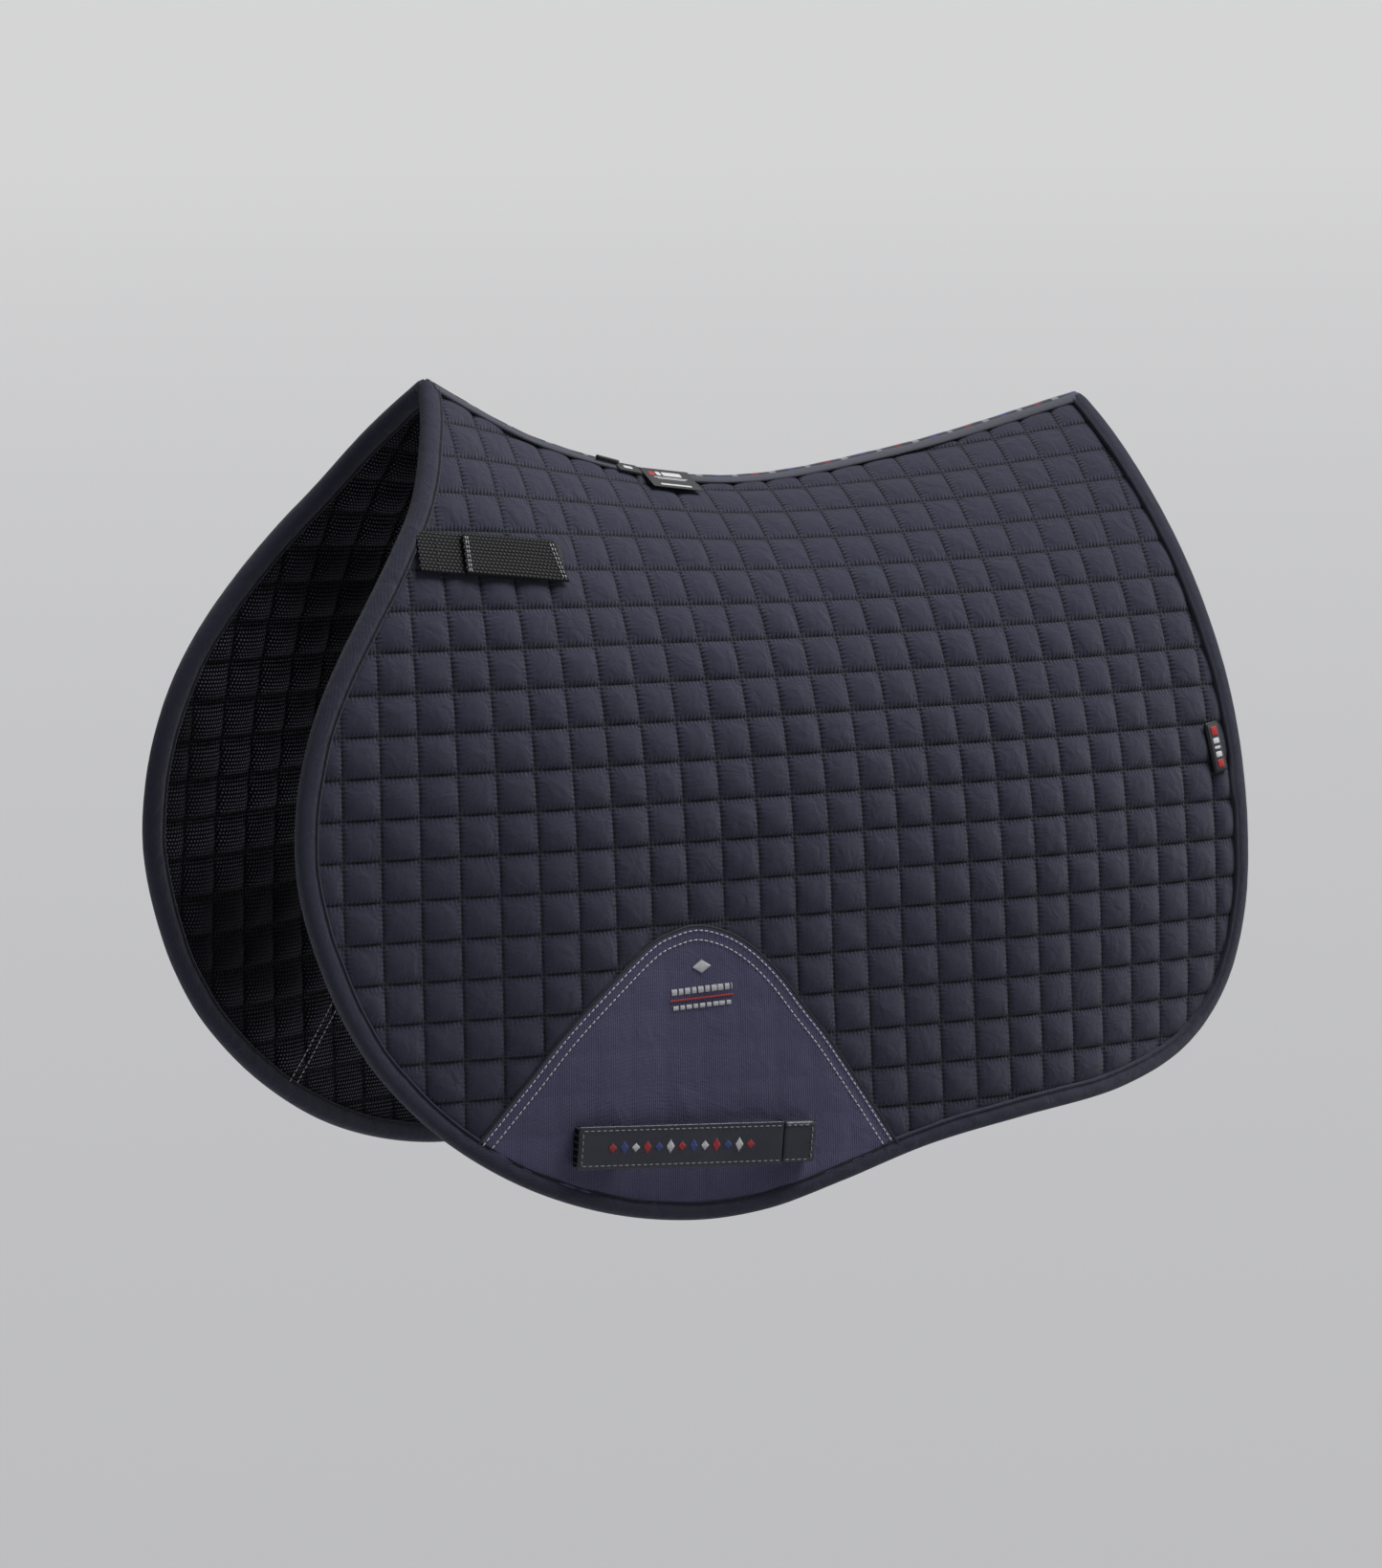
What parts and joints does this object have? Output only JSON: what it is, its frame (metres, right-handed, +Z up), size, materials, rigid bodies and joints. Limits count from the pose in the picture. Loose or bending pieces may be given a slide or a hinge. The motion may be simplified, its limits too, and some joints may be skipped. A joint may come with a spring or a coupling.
{
  "type": "saddle pad",
  "caption": "Quilted close-contact saddle pad, shown as worn: two bound halves folding at a curved spine seam, with girth keeper and front straps.",
  "frame": {"origin": "underside of the spine seam at the middle of the pad's length", "axes": "-X towards the withers, +X towards the rear, -Y near side, +Y off side, +Z up"},
  "size_m": [0.6831, 0.3532, 0.5284],
  "materials": {
    "cover_twill": "quilted cotton twill",
    "wadding": "fibre filling",
    "lining_mesh": "ribbed wicking mesh",
    "binding_tape": "bias twill tape",
    "spine_tape": "woven tape",
    "ribbon": "woven ribbon with coloured dashes",
    "rub_cloth": "ribbed woven cloth, white stitching",
    "webbing": "nylon webbing",
    "loop_tape": "loop pile",
    "hook_tape": "hook tape",
    "strap_leather": "fine grain, stitched edge",
    "label_cloth": "woven label",
    "badge_rubber": "moulded",
    "badge_face": "moulded, raised marks"
  },
  "bodies": {
    "spine": {"spine_piping": "binding_tape", "spine_ribbon": "ribbon"},
    "label": {"fold_label": "label_cloth"},
    "near_half": {"near_cover": "cover_twill", "near_wadding": "wadding", "near_lining": "lining_mesh", "near_edge_binding": "binding_tape", "near_spine_tape": "spine_tape", "near_seam_facing": "binding_tape", "near_rub_patch": "rub_cloth", "near_front_strap_base": "webbing", "near_front_loop_tape": "loop_tape", "near_girth_keeper_tab": "webbing", "near_girth_strap_anchor": "strap_leather", "rear_badge": "badge_rubber", "rear_badge_face": "badge_face", "size_tab": "label_cloth", "roll_tab": "label_cloth"},
    "near_front_flap": {"near_front_strap_flap": "webbing", "near_front_strap_hook_tape": "hook_tape"},
    "near_girth_flap": {"near_girth_strap": "strap_leather", "near_girth_strap_backing": "webbing", "near_girth_hook_tape": "hook_tape"},
    "off_half": {"off_cover": "cover_twill", "off_wadding": "wadding", "off_lining": "lining_mesh", "off_edge_binding": "binding_tape", "off_spine_tape": "spine_tape", "off_seam_facing": "binding_tape", "off_rub_patch": "rub_cloth", "off_front_strap_base": "webbing", "off_front_loop_tape": "loop_tape", "off_girth_keeper_tab": "webbing", "off_girth_strap_anchor": "strap_leather"},
    "off_front_flap": {"off_front_strap_flap": "webbing", "off_front_strap_hook_tape": "hook_tape"},
    "off_girth_flap": {"off_girth_strap": "strap_leather", "off_girth_strap_backing": "webbing", "off_girth_hook_tape": "hook_tape"}
  },
  "joints": [
    {"name": "near_fold", "type": "hinge", "parent": "spine", "child": "near_half", "pos_m": [0, 0, -0.0125], "axis": [1, 0, 0], "range_deg": [0, 15]},
    {"name": "off_fold", "type": "hinge", "parent": "spine", "child": "off_half", "pos_m": [0, 0, -0.0125], "axis": [1, 0, 0], "range_deg": [-15, 0]},
    {"name": "label_lift", "type": "hinge", "parent": "near_half", "child": "label", "pos_m": [0.00106, -0.00304, 0.01068], "axis": [-0.9845, 0.0085, 0.175], "range_deg": [0, 60]},
    {"name": "near_girth_open", "type": "hinge", "parent": "near_half", "child": "near_girth_flap", "pos_m": [-0.03208, -0.16264, -0.39285], "axis": [0.0841, -0.0102, 0.9964], "range_deg": [0, 100]},
    {"name": "near_front_open", "type": "hinge", "parent": "near_half", "child": "near_front_flap", "pos_m": [-0.2065, -0.0735, -0.01373], "axis": [-0.1588, -0.4455, -0.8811], "range_deg": [0, 105]},
    {"name": "off_girth_open", "type": "hinge", "parent": "off_half", "child": "off_girth_flap", "pos_m": [-0.03208, 0.16264, -0.39285], "axis": [-0.0841, -0.0102, -0.9964], "range_deg": [0, 100]},
    {"name": "off_front_open", "type": "hinge", "parent": "off_half", "child": "off_front_flap", "pos_m": [-0.2065, 0.0735, -0.01373], "axis": [0.1588, -0.4455, 0.8811], "range_deg": [0, 105]}
  ],
  "couplings": [
    {"joint": "off_fold", "follows": "near_fold", "ratio": -1}
  ]
}
